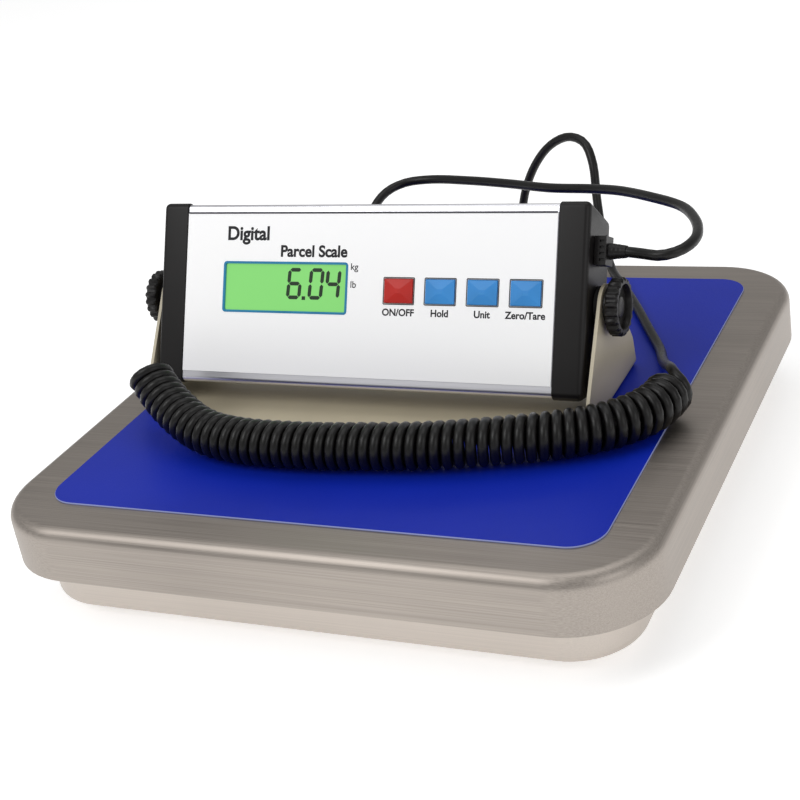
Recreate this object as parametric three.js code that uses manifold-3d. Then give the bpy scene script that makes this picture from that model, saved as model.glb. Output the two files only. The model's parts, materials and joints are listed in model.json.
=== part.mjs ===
// Platform shipping scale with a tilting indicator on its stand and a curly cord.
// Millimetres, +Z up. The origin is on the table, under the middle of the square platform;
// +X is to the right and +Y points away from the person who reads the display.
import * as THREE from "three";
import { mergeVertices } from "three/addons/utils/BufferGeometryUtils.js";
import Module from "manifold-3d";

const wasm = await Module();
wasm.setup();

const GAP = 0.3; // air left between pieces that touch

// Weighing platform: a folded steel cover over a steel base pan
const PLATFORM_SIDE = 305;
const PLATFORM_CORNER = 40;
const EDGE_ROUND = 6;
const COVER_TOP = 53.4;
const SKIRT_BOTTOM = 27.4;
const SHEET = 1.2;
const MAT_SIDE = 260;
const MAT_CORNER = 15;
const MAT_THICKNESS = 0.7;
const MAT_TOP = COVER_TOP + 0.1 + MAT_THICKNESS;
const PAN_SIDE = 281;
const PAN_CORNER = 30;
const PAN_ROUND = 5;
const PAN_BOTTOM = 5.2;
const PAN_RIM = 42;
const PAN_FLOOR = PAN_BOTTOM + SHEET;

// Weighing works inside the platform
const FOOT_RADIUS = 13;
const ARM_REACH = 105; // distance of feet and pads from the middle, along X and along Y
const SPIDER_THICKNESS = 4;
const SPIDER_ARM_WIDTH = 36;
const LOWER_SPIDER_Z = PAN_FLOOR + GAP;
const UPPER_SPIDER_Z = 44.2;
const CELL_LENGTH = 130;
const CELL_WIDTH = 30;
const CELL_BOTTOM = 18;
const CELL_TOP = 40;
const BOLT_RADIUS = 3;
const BOLT_HEAD_RADIUS = 5;
const OVERLOAD_CLEARANCE = 1.3;

// Stand, a U bent from one sheet, and the pivot of the indicator
const STAND_CENTRE_X = -13;
const STAND_HALF_WIDTH = 112.75;
const STAND_SHEET = 1.6;
const STAND_BOTTOM = MAT_TOP + 0.1;
const STAND_FRONT_Y = -50.7;
const STAND_BACK_Y = 29;
const STAND_CORNER = 10;
const PIVOT_Y = -3;
const PIVOT_Z = STAND_BOTTOM + 43.5;
const TILT = THREE.MathUtils.degToRad(27.4); // the display leans back this far from upright

// Indicator housing, in its own frame: X along it, Y to its back, Z up its face, origin at the pivot
const HALF_WIDTH = 108.5;
const SHELL_HALF = 94.3;
const FACE = -17.4;
const SHELL_INSET = 0.8;
const SHELL_WALL = 2;
const END_ROUND = 2.6;
const OUTLINE = [
  { y: FACE, z: -43, round: 3.4 },
  { y: 12.7, z: -36, round: 4 },
  { y: 12.7, z: 38.4, round: 3.6 },
  { y: FACE, z: 45.2, round: 2.8 },
];
const BOSS_HEIGHTS = [-25, 29]; // screw channels in the back of the housing
const BOSS_Y = 7.2;

// Face: display window and four buttons
const WINDOW = { x: -40, z: 4.6, width: 65.3, height: 23 };
const BUTTON_NAMES = ["power", "hold", "unit", "zero"];
const BUTTON_FIRST_X = 19.4;
const BUTTON_PITCH = 20.5;
const BUTTON_Z = 4;
const BUTTON_WIDTH = 14;
const BUTTON_HEIGHT = 10.9;
const BOARD_FRONT = -7.9;

// Cord
const WIRE_RADIUS = 2.4;
const COIL_RADIUS = 10.75;
const GLAND_Y = -5;
const GLAND_Z = 23.8;
const GLAND_LENGTH = 5.6;
const BASE_GLAND_X = -12;
const BASE_GLAND_Z = 19;

// Finishes

function finish(colour, roughness, metalness) {
  return new THREE.MeshStandardMaterial({ color: colour, roughness, metalness });
}

const stainless = finish("#a89f95", 0.38, 1);
const panSteel = finish("#cfc5ba", 0.42, 1);
const plainSteel = finish("#8d9094", 0.45, 1);
const boltSteel = finish("#70757a", 0.35, 1);
const aluminium = finish("#d8d8dc", 0.35, 1);
const blueVinyl = finish("#1b2aa8", 0.45, 0);
const creamPaint = finish("#ddd6bd", 0.5, 0);
const blackPlastic = finish("#1d1c1c", 0.5, 0);
const blackRubber = finish("#181818", 0.8, 0);
const whiteLabel = finish("#f1f1f3", 0.4, 0);
const clearPlastic = finish("#7fe073", 0.1, 0);
const boardGreen = finish("#1d5a34", 0.6, 0);
const redPlastic = finish("#bd2b26", 0.4, 0);
const bluePlastic = finish("#3f8fd6", 0.4, 0);
const cellLabel = finish("#3a6b3c", 0.5, 0);

// Booleans

function toSolid(geometry) {
  const bare = geometry.index ? geometry.toNonIndexed() : geometry.clone();
  bare.deleteAttribute("normal");
  bare.deleteAttribute("uv");
  const merged = mergeVertices(bare, 1e-4);
  return new wasm.Manifold(
    new wasm.Mesh({
      numProp: 3,
      vertProperties: merged.attributes.position.array,
      triVerts: new Uint32Array(merged.index.array),
    }),
  );
}

function toGeometry(solid) {
  const mesh = solid.getMesh();
  const geometry = new THREE.BufferGeometry();
  geometry.setAttribute("position", new THREE.BufferAttribute(mesh.vertProperties, 3));
  geometry.setIndex(new THREE.BufferAttribute(mesh.triVerts, 1));
  return geometry;
}

function join(...geometries) {
  return toGeometry(geometries.map(toSolid).reduce((whole, next) => whole.add(next)));
}

function cut(geometry, ...tools) {
  return toGeometry(tools.reduce((rest, tool) => rest.subtract(toSolid(tool)), toSolid(geometry)));
}

function common(a, b) {
  return toGeometry(toSolid(a).intersect(toSolid(b)));
}

// Basic shapes

function box(xRange, yRange, zRange) {
  const [x, y, z] = [xRange, yRange, zRange].map(([low, high]) => (low + high) / 2);
  const [dx, dy, dz] = [xRange, yRange, zRange].map(([low, high]) => high - low);
  return new THREE.BoxGeometry(dx, dy, dz).translate(x, y, z);
}

function around(middle, size) {
  return [middle - size / 2, middle + size / 2];
}

function rodX(radius, xRange, y, z, sides = 16) {
  const rod = new THREE.CylinderGeometry(radius, radius, xRange[1] - xRange[0], sides);
  return rod.rotateZ(-Math.PI / 2).translate((xRange[0] + xRange[1]) / 2, y, z);
}

function rodY(radius, x, yRange, z, sides = 16) {
  const rod = new THREE.CylinderGeometry(radius, radius, yRange[1] - yRange[0], sides);
  return rod.translate(x, (yRange[0] + yRange[1]) / 2, z);
}

function rodZ(radius, x, y, zRange, sides = 16) {
  const rod = new THREE.CylinderGeometry(radius, radius, zRange[1] - zRange[0], sides);
  return rod.rotateX(Math.PI / 2).translate(x, y, (zRange[0] + zRange[1]) / 2);
}

function roundedRectangle(width, height, radius, x = 0, y = 0) {
  const right = x + width / 2 - radius;
  const top = y + height / 2 - radius;
  const left = x - width / 2 + radius;
  const bottom = y - height / 2 + radius;
  const shape = new THREE.Shape();
  shape.absarc(right, bottom, radius, -Math.PI / 2, 0);
  shape.absarc(right, top, radius, 0, Math.PI / 2);
  shape.absarc(left, top, radius, Math.PI / 2, Math.PI);
  shape.absarc(left, bottom, radius, Math.PI, 1.5 * Math.PI);
  shape.closePath();
  return shape;
}

// A slab between two heights whose top and bottom edges are rounded.
function slab(shape, zRange, round = 0, curveSegments = 6) {
  const options = { depth: zRange[1] - zRange[0] - 2 * round, bevelEnabled: round > 0, curveSegments };
  Object.assign(options, { bevelThickness: round, bevelSize: round, bevelOffset: -round, bevelSegments: 3 });
  return new THREE.ExtrudeGeometry(shape, options).translate(0, 0, zRange[0] + round);
}

// Turns an outline drawn in Y and Z, and extruded, so that it runs along X.
const EXTRUDED_ALONG_X = new THREE.Matrix4().makeBasis(
  new THREE.Vector3(0, 1, 0),
  new THREE.Vector3(0, 0, 1),
  new THREE.Vector3(1, 0, 0),
);

function prismX(shape, xRange, round = 0, curveSegments = 4) {
  return slab(shape, xRange, round, curveSegments).applyMatrix4(EXTRUDED_ALONG_X);
}

// Turns an outline drawn in X and Z, and extruded, so that it runs along Y.
function prismY(shape, yRange, curveSegments = 4) {
  const run = slab(shape, yRange, 0, curveSegments);
  return run.rotateX(Math.PI / 2).translate(0, yRange[0] + yRange[1], 0);
}

function tube(points, radius, steps, sides) {
  const section = new THREE.Shape();
  for (let i = 0; i < sides; i++) {
    const angle = (2 * Math.PI * i) / sides;
    const [x, y] = [radius * Math.cos(angle), radius * Math.sin(angle)];
    if (i === 0) section.moveTo(x, y);
    else section.lineTo(x, y);
  }
  section.closePath();
  const path = new THREE.CatmullRomCurve3(points.map((p) => new THREE.Vector3(...p)), false, "centripetal");
  return new THREE.ExtrudeGeometry(section, { steps, bevelEnabled: false, extrudePath: path });
}

// Assembly

const scale = new THREE.Group();
const indicator = new THREE.Group();
indicator.position.set(STAND_CENTRE_X, PIVOT_Y, PIVOT_Z);
indicator.rotation.x = -TILT;
scale.add(indicator);

function add(group, name, geometry, material) {
  const mesh = new THREE.Mesh(geometry, material);
  mesh.name = name;
  group.add(mesh);
}

const CORNERS = [
  { name: "front_left", x: -1, y: -1 },
  { name: "front_right", x: 1, y: -1 },
  { name: "rear_right", x: 1, y: 1 },
  { name: "rear_left", x: -1, y: 1 },
];
const SIDES = [
  { name: "left", x: -1 },
  { name: "right", x: 1 },
];

function basePan() {
  const outer = slab(roundedRectangle(PAN_SIDE, PAN_SIDE, PAN_CORNER), [PAN_BOTTOM, PAN_RIM + 20], PAN_ROUND);
  const inside = PAN_SIDE - 2 * SHEET;
  const hollow = slab(
    roundedRectangle(inside, inside, PAN_CORNER - SHEET),
    [PAN_FLOOR, PAN_RIM + 30],
    PAN_ROUND - SHEET,
  );
  const above = box([-200, 200], [-200, 200], [PAN_RIM, PAN_RIM + 40]);
  const glandHole = box(around(BASE_GLAND_X, 12.6), [PAN_SIDE / 2 - 5, PAN_SIDE / 2 + 5], around(BASE_GLAND_Z, 8.6));
  const footHoles = CORNERS.map((c) => rodZ(4, c.x * ARM_REACH, c.y * ARM_REACH, [0, 12]));
  return cut(outer, hollow, above, glandHole, ...footHoles);
}

function foot(corner) {
  const profile = [
    [0, 1.4],
    [5, 1.4],
    [6, 0],
    [FOOT_RADIUS - 1, 0],
    [FOOT_RADIUS, 1],
    [FOOT_RADIUS - 1, PAN_BOTTOM - GAP],
    [3.6, PAN_BOTTOM - GAP],
    [3.6, PAN_FLOOR + GAP],
    [4.6, PAN_FLOOR + GAP],
    [3.2, PAN_FLOOR + 3],
    [0, PAN_FLOOR + 3],
  ].map(([radius, height]) => new THREE.Vector2(radius, height));
  const turned = new THREE.LatheGeometry(profile).rotateX(Math.PI / 2);
  return turned.translate(corner.x * ARM_REACH, corner.y * ARM_REACH, 0);
}

// Four arms from the middle out to the corners, with a hub plate.
function spiderPlate(bottom) {
  const zRange = [bottom, bottom + SPIDER_THICKNESS];
  const reach = 2 * ARM_REACH * Math.SQRT2;
  const bars = [-1, 1].map((turn) =>
    box(around(0, reach), around(0, SPIDER_ARM_WIDTH), zRange).rotateZ((turn * Math.PI) / 4),
  );
  const ends = CORNERS.map((c) =>
    rodZ(SPIDER_ARM_WIDTH / 2, c.x * ARM_REACH, c.y * ARM_REACH, zRange),
  );
  const hub = box(around(0, CELL_LENGTH + 10), around(0, 60), zRange);
  return join(hub, ...bars, ...ends);
}

const FIXED_BOLT_X = [-56, -42];
const FREE_BOLT_X = [42, 56];
const STOP_REACH = 82;

function lowerSpider() {
  const boss = box([-65, -33], around(0, CELL_WIDTH), [LOWER_SPIDER_Z + 1, CELL_BOTTOM - GAP]);
  const cuts = FIXED_BOLT_X.flatMap((x) => [
    rodZ(BOLT_RADIUS + GAP, x, 0, [0, 25]),
    rodZ(BOLT_HEAD_RADIUS + GAP, x, 0, [0, LOWER_SPIDER_Z + 4.6]),
  ]);
  const barbs = CORNERS.map((c) => rodZ(5.2, c.x * ARM_REACH, c.y * ARM_REACH, [0, 20]));
  const threads = CORNERS.map((c) => rodZ(4 + GAP, c.x * STOP_REACH, c.y * STOP_REACH, [0, 20]));
  return cut(join(spiderPlate(LOWER_SPIDER_Z), boss), ...cuts, ...barbs, ...threads);
}

function loadCell() {
  const bar = box(around(0, CELL_LENGTH), around(0, CELL_WIDTH), [CELL_BOTTOM, CELL_TOP]);
  const middle = (CELL_BOTTOM + CELL_TOP) / 2;
  const eyes = [-11, 11].map((x) => rodY(8, x, [-20, 20], middle));
  const slot = box([-11, 11], [-20, 20], around(middle, 3));
  const fixed = FIXED_BOLT_X.map((x) => rodZ(BOLT_RADIUS + GAP, x, 0, [10, 32]));
  const free = FREE_BOLT_X.map((x) => rodZ(BOLT_RADIUS + GAP, x, 0, [26, 50]));
  return cut(bar, ...eyes, slot, ...fixed, ...free);
}

function fixedBolt(x) {
  const head = rodZ(BOLT_HEAD_RADIUS, x, 0, [LOWER_SPIDER_Z + 0.2, LOWER_SPIDER_Z + 4.2], 6);
  return join(head, rodZ(BOLT_RADIUS, x, 0, [LOWER_SPIDER_Z + 2, 31]));
}

function freeBolt(x) {
  const seat = UPPER_SPIDER_Z + SPIDER_THICKNESS + GAP;
  return join(rodZ(BOLT_HEAD_RADIUS, x, 0, [seat, seat + 3.2], 6), rodZ(BOLT_RADIUS, x, 0, [28, seat + 1]));
}

function upperSpider() {
  const boss = box([33, 65], around(0, CELL_WIDTH), [CELL_TOP + GAP, UPPER_SPIDER_Z + 1]);
  const holes = FREE_BOLT_X.map((x) => rodZ(BOLT_RADIUS + GAP, x, 0, [30, 60]));
  return cut(join(spiderPlate(UPPER_SPIDER_Z), boss), ...holes);
}

function supportPad(corner) {
  const seat = UPPER_SPIDER_Z + SPIDER_THICKNESS + GAP;
  const top = COVER_TOP - SHEET - GAP;
  return rodZ(12, corner.x * ARM_REACH, corner.y * ARM_REACH, [seat, top]);
}

// A set screw in the lower arm; the upper arm comes down on it when the platform is overloaded.
function overloadStop(corner) {
  const [x, y] = [corner.x * STOP_REACH, corner.y * STOP_REACH];
  const shank = rodZ(4, x, y, [LOWER_SPIDER_Z + 0.4, UPPER_SPIDER_Z - OVERLOAD_CLEARANCE]);
  const nutSeat = LOWER_SPIDER_Z + SPIDER_THICKNESS + GAP;
  return join(shank, rodZ(7, x, y, [nutSeat, nutSeat + 5], 6));
}

function platformCover() {
  const outline = roundedRectangle(PLATFORM_SIDE, PLATFORM_SIDE, PLATFORM_CORNER);
  const outer = slab(outline, [SKIRT_BOTTOM - 20, COVER_TOP], EDGE_ROUND);
  const inside = PLATFORM_SIDE - 2 * SHEET;
  const hollow = slab(
    roundedRectangle(inside, inside, PLATFORM_CORNER - SHEET),
    [SKIRT_BOTTOM - 30, COVER_TOP - SHEET],
    EDGE_ROUND - SHEET,
  );
  const below = box([-200, 200], [-200, 200], [SKIRT_BOTTOM - 40, SKIRT_BOTTOM]);
  return cut(outer, hollow, below);
}

function platformMat() {
  return slab(roundedRectangle(MAT_SIDE, MAT_SIDE, MAT_CORNER), [MAT_TOP - MAT_THICKNESS, MAT_TOP]);
}

// A square strain relief bushing: a body outside the wall, a neck through it and a bore for the cord.
function baseGland() {
  const wall = PAN_SIDE / 2;
  const body = box(around(BASE_GLAND_X, 14), [wall + GAP, wall + 9], around(BASE_GLAND_Z, 12));
  const neck = box(around(BASE_GLAND_X, 12), [wall - 4, wall + 1], around(BASE_GLAND_Z, 8));
  return join(body, neck);
}

// Stand and pivot

const FRONT_EDGE = new THREE.Vector2(0.8, 1).normalize(); // direction of the arm's front edge in Y and Z

function standSideOutline() {
  const centre = new THREE.Vector2(PIVOT_Y, PIVOT_Z);
  const normal = new THREE.Vector2(-FRONT_EDGE.y, FRONT_EDGE.x);
  const foot = new THREE.Vector2(STAND_FRONT_Y, STAND_BOTTOM);
  const topRadius = Math.abs(centre.clone().sub(foot).dot(normal));
  const rearCorner = new THREE.Vector2(STAND_BACK_Y - 2, STAND_BOTTOM + 15);
  const toCorner = rearCorner.clone().sub(centre);
  const rearAngle = toCorner.angle() - 2 * Math.PI + Math.acos(topRadius / toCorner.length());
  const shape = new THREE.Shape();
  shape.moveTo(foot.x, foot.y - 1);
  shape.lineTo(foot.x, foot.y + 1);
  shape.absarc(centre.x, centre.y, topRadius, normal.angle(), rearAngle, true);
  shape.lineTo(rearCorner.x, rearCorner.y);
  shape.lineTo(STAND_BACK_Y, STAND_BOTTOM - 1);
  shape.closePath();
  return shape;
}

// The bent sheet seen from the front, from arm top to arm top.
function standFrontOutline() {
  const bend = 3;
  const top = PIVOT_Z + 20;
  const [left, right] = around(STAND_CENTRE_X, 2 * STAND_HALF_WIDTH);
  const outline = new THREE.Shape();
  const inner = bend - STAND_SHEET;
  const bendZ = STAND_BOTTOM + bend;
  outline.moveTo(left, top);
  outline.absarc(left + bend, bendZ, bend, Math.PI, 1.5 * Math.PI);
  outline.absarc(right - bend, bendZ, bend, 1.5 * Math.PI, 2 * Math.PI);
  outline.lineTo(right, top);
  outline.lineTo(right - STAND_SHEET, top);
  outline.absarc(right - bend, bendZ, inner, 0, -Math.PI / 2, true);
  outline.absarc(left + bend, bendZ, inner, -Math.PI / 2, -Math.PI, true);
  outline.lineTo(left + STAND_SHEET, top);
  outline.closePath();
  return outline;
}

// Takes the front corner off the foot of one arm, at 45 degrees seen from above.
function frontCornerCut(side) {
  const outer = STAND_CENTRE_X + side.x * STAND_HALF_WIDTH;
  const corner = new THREE.Shape();
  corner.moveTo(outer + side.x, STAND_FRONT_Y - 1);
  corner.lineTo(outer + side.x, STAND_FRONT_Y + STAND_CORNER + 1);
  corner.lineTo(outer - side.x * (STAND_CORNER + 1), STAND_FRONT_Y - 1);
  corner.closePath();
  return slab(corner, [STAND_BOTTOM - 1, STAND_BOTTOM + 1.25 * STAND_CORNER]);
}

function bracket() {
  const sheet = prismY(standFrontOutline(), [STAND_FRONT_Y - 5, STAND_BACK_Y + 5]);
  const sides = prismX(standSideOutline(), around(STAND_CENTRE_X, 2 * STAND_HALF_WIDTH + 10), 0, 10);
  const pivotHoles = rodX(3.6, around(STAND_CENTRE_X, 2 * STAND_HALF_WIDTH + 10), PIVOT_Y, PIVOT_Z);
  const screwHoles = [-60, 60].map((x) => rodZ(2.5, STAND_CENTRE_X + x, 18, around(STAND_BOTTOM, 10)));
  return cut(common(sheet, sides), pivotHoles, ...screwHoles, ...SIDES.map(frontCornerCut));
}

const KNOB_RADIUS = 13;
const KNOB_RIBS = 20;

function knobOutline() {
  const shape = new THREE.Shape();
  const quarter = Math.PI / 2 / KNOB_RIBS;
  const corners = [
    [-1.3, KNOB_RADIUS - 0.9],
    [-0.8, KNOB_RADIUS],
    [0.8, KNOB_RADIUS],
    [1.3, KNOB_RADIUS - 0.9],
  ];
  for (let rib = 0; rib < KNOB_RIBS; rib++) {
    for (const [step, radius] of corners) {
      const angle = (4 * rib + step) * quarter;
      const [y, z] = [radius * Math.cos(angle), radius * Math.sin(angle)];
      if (rib === 0 && step === -1.3) shape.moveTo(y, z);
      else shape.lineTo(y, z);
    }
  }
  shape.closePath();
  return shape;
}

const KNOB_INNER = STAND_HALF_WIDTH + GAP;
const KNOB_RIM_START = STAND_HALF_WIDTH + 2.3;
const KNOB_RIM_END = STAND_HALF_WIDTH + 8;

// Pieces of the left end are the right end's, reflected.
function mirrored(side, geometry) {
  if (side.x > 0) return geometry;
  const reflected = geometry.clone().scale(-1, 1, 1);
  const corners = reflected.index.array;
  for (let i = 0; i < corners.length; i += 3) {
    [corners[i + 1], corners[i + 2]] = [corners[i + 2], corners[i + 1]];
  }
  return reflected;
}

function knob(side) {
  const rim = prismX(knobOutline(), [KNOB_RIM_START, KNOB_RIM_END]);
  const hub = rodX(8.5, [KNOB_INNER, KNOB_RIM_START + 1], 0, 0);
  const recess = rodX(9.6, [KNOB_RIM_END - 3, KNOB_RIM_END + 5], 0, 0, 20);
  const bore = rodX(3 + GAP, [KNOB_INNER - 5, KNOB_RIM_END + 5], 0, 0);
  return mirrored(side, cut(join(rim, hub), recess, bore));
}

function knobStud(side) {
  return mirrored(side, rodX(3, [99.5, KNOB_RIM_END - 3.6], 0, 0));
}

function frictionWasher(side) {
  const inner = STAND_HALF_WIDTH - STAND_SHEET - GAP;
  const disc = rodX(9, [HALF_WIDTH + GAP, inner], 0, 0);
  return mirrored(side, cut(disc, rodX(3.4, [100, 120], 0, 0)));
}

// Indicator housing

// The outline's corners moved inwards by a distance, each with its rounding.
function insetCorners(distance) {
  return OUTLINE.map((corner, i) => {
    const before = OUTLINE[(i + OUTLINE.length - 1) % OUTLINE.length];
    const after = OUTLINE[(i + 1) % OUTLINE.length];
    const into = new THREE.Vector2(corner.y - before.y, corner.z - before.z).normalize();
    const out = new THREE.Vector2(after.y - corner.y, after.z - corner.z).normalize();
    const bisector = new THREE.Vector2(-into.y - out.y, into.x + out.x).normalize();
    const stretch = distance / bisector.dot(new THREE.Vector2(-into.y, into.x));
    return {
      y: corner.y + bisector.x * stretch,
      z: corner.z + bisector.y * stretch,
      round: Math.max(corner.round - distance, 0.8),
      into,
      out,
    };
  });
}

function housingOutline(inset) {
  const shape = new THREE.Shape();
  insetCorners(inset).forEach((corner, i) => {
    const halfTurn = Math.acos(THREE.MathUtils.clamp(corner.into.dot(corner.out), -1, 1)) / 2;
    const back = corner.round * Math.tan(halfTurn);
    const start = [corner.y - corner.into.x * back, corner.z - corner.into.y * back];
    const normal = corner.into.angle() - Math.PI / 2;
    const centre = [
      start[0] - Math.cos(normal) * corner.round,
      start[1] - Math.sin(normal) * corner.round,
    ];
    if (i === 0) shape.moveTo(...start);
    shape.absarc(...centre, corner.round, normal, normal + 2 * halfTurn);
  });
  shape.closePath();
  return shape;
}

function buttonX(index) {
  return BUTTON_FIRST_X + index * BUTTON_PITCH;
}

function faceHoles(clearance, yRange) {
  const window = box(
    around(WINDOW.x, WINDOW.width + 2 * clearance),
    yRange,
    around(WINDOW.z, WINDOW.height + 2 * clearance),
  );
  const buttons = BUTTON_NAMES.map((_, i) =>
    box(
      around(buttonX(i), BUTTON_WIDTH + 2 * (GAP + clearance)),
      yRange,
      around(BUTTON_Z, BUTTON_HEIGHT + 2 * (GAP + clearance)),
    ),
  );
  return [window, ...buttons];
}

const COVER_WIDTH = 106;
const COVER_HEIGHT = 34;

// Extruded aluminium tube with two screw channels along its back.
function housingShell() {
  const ends = [-SHELL_HALF, SHELL_HALF];
  const outer = prismX(housingOutline(SHELL_INSET), ends);
  const inner = prismX(housingOutline(SHELL_INSET + SHELL_WALL), around(0, 2 * SHELL_HALF + 10));
  const channels = BOSS_HEIGHTS.map((z) => rodX(3.4, ends, BOSS_Y, z));
  const threads = BOSS_HEIGHTS.map((z) => rodX(1.7, around(0, 2 * SHELL_HALF + 10), BOSS_Y, z, 12));
  const batteryHole = box(around(0, COVER_WIDTH), [5, 20], around(0, COVER_HEIGHT));
  const tubeWithChannels = join(cut(outer, inner), ...channels);
  return cut(tubeWithChannels, ...threads, ...faceHoles(0.2, [-30, -10]), batteryHole);
}

function endCap(side) {
  const block = prismX(housingOutline(0), [HALF_WIDTH - 40, HALF_WIDTH], END_ROUND);
  const inward = box([0, SHELL_HALF + GAP], [-60, 60], [-60, 60]);
  const cavity = prismX(housingOutline(4.6), [80, HALF_WIDTH - 2.6]);
  const lipOuter = prismX(housingOutline(SHELL_INSET + SHELL_WALL + GAP), [SHELL_HALF - 4, SHELL_HALF + 2]);
  const lipInner = prismX(housingOutline(4.6), [SHELL_HALF - 10, SHELL_HALF + 4]);
  const channelRoom = BOSS_HEIGHTS.map((z) => rodX(3.8, [SHELL_HALF - 10, SHELL_HALF + GAP], BOSS_Y, z));
  const lip = cut(lipOuter, lipInner, ...channelRoom);
  const posts = BOSS_HEIGHTS.map((z) => rodX(4, [SHELL_HALF + GAP, HALF_WIDTH - 2], BOSS_Y, z));
  const pivotBoss = rodX(7, [SHELL_HALF + 3, HALF_WIDTH - 2], 0, 0);
  const body = join(cut(block, inward, cavity), lip, ...posts, pivotBoss);
  const holes = BOSS_HEIGHTS.flatMap((z) => [
    rodX(1.8, [80, 120], BOSS_Y, z, 12),
    rodX(3.1, [HALF_WIDTH - 2.2, 120], BOSS_Y, z),
  ]);
  const glandHole = side.x > 0 ? [box([90, 120], around(GLAND_Y, 6.6), around(GLAND_Z, 8.6))] : [];
  const pivotBore = rodX(3 + GAP, [80, 120], 0, 0);
  return mirrored(side, cut(body, ...holes, ...glandHole, pivotBore));
}

function capScrew(side, z) {
  const head = rodX(2.8, [HALF_WIDTH - 1.9, HALF_WIDTH - 0.2], 0, 0);
  const shank = rodX(1.45, [HALF_WIDTH - 24, HALF_WIDTH - 1], 0, 0, 12);
  const slot = box([HALF_WIDTH - 0.9, HALF_WIDTH + 1], around(0, 4.2), around(0, 0.8));
  return mirrored(side, cut(join(head, shank), slot)).translate(0, BOSS_Y, z);
}

function faceLabel() {
  const [low, high] = [-36.2, 39.7];
  const front = FACE + 0.15;
  const sheet = box(around(0, 2 * SHELL_HALF - 0.4), [front, front + 0.4], [low, high]);
  return cut(sheet, ...faceHoles(0, [-30, -10]));
}

function displayWindow() {
  const front = FACE + 0.25;
  return box(
    around(WINDOW.x, WINDOW.width - 2 * GAP),
    [front, front + 1.6],
    around(WINDOW.z, WINDOW.height - 2 * GAP),
  );
}

function displayModule() {
  return box(around(WINDOW.x, 70), [-14.2, BOARD_FRONT - GAP], around(WINDOW.z, 30));
}

function circuitBoard() {
  const board = box(around(0, 174), [BOARD_FRONT, BOARD_FRONT + 1.6], [-32, 34]);
  const holes = [-82, 82].flatMap((x) => [-28, 30].map((z) => rodY(1.6, x, [-20, 10], z, 12)));
  return cut(board, ...holes);
}

// A shallow pyramid on a square stem, with a flange that keeps it behind the face.
function button(index) {
  const x = buttonX(index);
  const rise = FACE - 0.55;
  const body = box(around(x, BUTTON_WIDTH), [rise, -13.6], around(BUTTON_Z, BUTTON_HEIGHT));
  const flange = box(around(x, BUTTON_WIDTH + 2), [-14.2, -13.2], around(BUTTON_Z, BUTTON_HEIGHT + 2));
  const stem = box(around(x, 4), [-13.6, -12.2], around(BUTTON_Z, 4));
  return join(body, flange, stem, buttonCrown(x, rise));
}

// The pyramid's frustum stands on the button's front face.
function buttonCrown(x, rise) {
  const height = 0.5;
  const [halfWidth, halfHeight] = [BUTTON_WIDTH / 2, BUTTON_HEIGHT / 2];
  const crown = new THREE.CylinderGeometry(0.2, 1, height, 4, 1).rotateY(Math.PI / 4);
  crown.scale(halfWidth * Math.SQRT2, 1, halfHeight * Math.SQRT2).rotateX(Math.PI);
  return crown.translate(x, rise - height / 2 + 0.02, BUTTON_Z);
}

function switchUnder(index) {
  const x = buttonX(index);
  const body = box(around(x, 6), [-10.9, BOARD_FRONT - GAP], around(BUTTON_Z, 6));
  return join(body, rodY(1.7, x, [-11.3, -10], BUTTON_Z, 12));
}

const CELL_RADIUS = 7.1;
const CELL_AXIS_Y = 2.4;
const BATTERY_LENGTH = 50;

function batteryHolder() {
  const tray = box(around(0, 104.6), [-6, 9.4], around(0, 32.8));
  const room = box(around(0, 102.6), [-5, 12], around(0, 30.8));
  return cut(tray, room);
}

function battery(index) {
  const x = (index % 2 ? 1 : -1) * (BATTERY_LENGTH / 2 + 0.4);
  const z = (index < 2 ? 1 : -1) * 7.6;
  const body = rodX(CELL_RADIUS, around(x - 0.4, BATTERY_LENGTH - 1.4), CELL_AXIS_Y, z);
  return join(body, rodX(2.6, around(x + 0.2, BATTERY_LENGTH - 1), CELL_AXIS_Y, z, 12));
}

function batteryCover() {
  const back = OUTLINE[1].y - SHELL_INSET;
  const plate = box(around(0, COVER_WIDTH - 2 * GAP), [back - 1.8, back], around(0, COVER_HEIGHT - 2 * GAP));
  const ridges = [-6, -3, 0, 3, 6].map((x) => box(around(x, 1.2), [back - 1, back + 0.5], around(8, 9)));
  return join(plate, ...ridges);
}

// Square bushing with ribs where the cord leaves the housing's right end.
function indicatorGland() {
  const end = HALF_WIDTH + GLAND_LENGTH;
  const body = box([HALF_WIDTH + GAP, end], around(GLAND_Y, 10), around(GLAND_Z, 12.7));
  const neck = box([HALF_WIDTH - 3.4, HALF_WIDTH + 1], around(GLAND_Y, 6), around(GLAND_Z, 8));
  const grooves = [-4, -1.3, 1.4, 4.1].map((z) =>
    box([HALF_WIDTH + 2.6, end - 0.8], [GLAND_Y - 6, GLAND_Y - 4.2], around(GLAND_Z + z, 1.1)),
  );
  return cut(join(body, neck), ...grooves);
}

// Cord: heights above the mat, turned into heights above the table

function aboveMat(points) {
  return points.map(([x, y, z]) => [x, y, z + MAT_TOP]);
}

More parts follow.
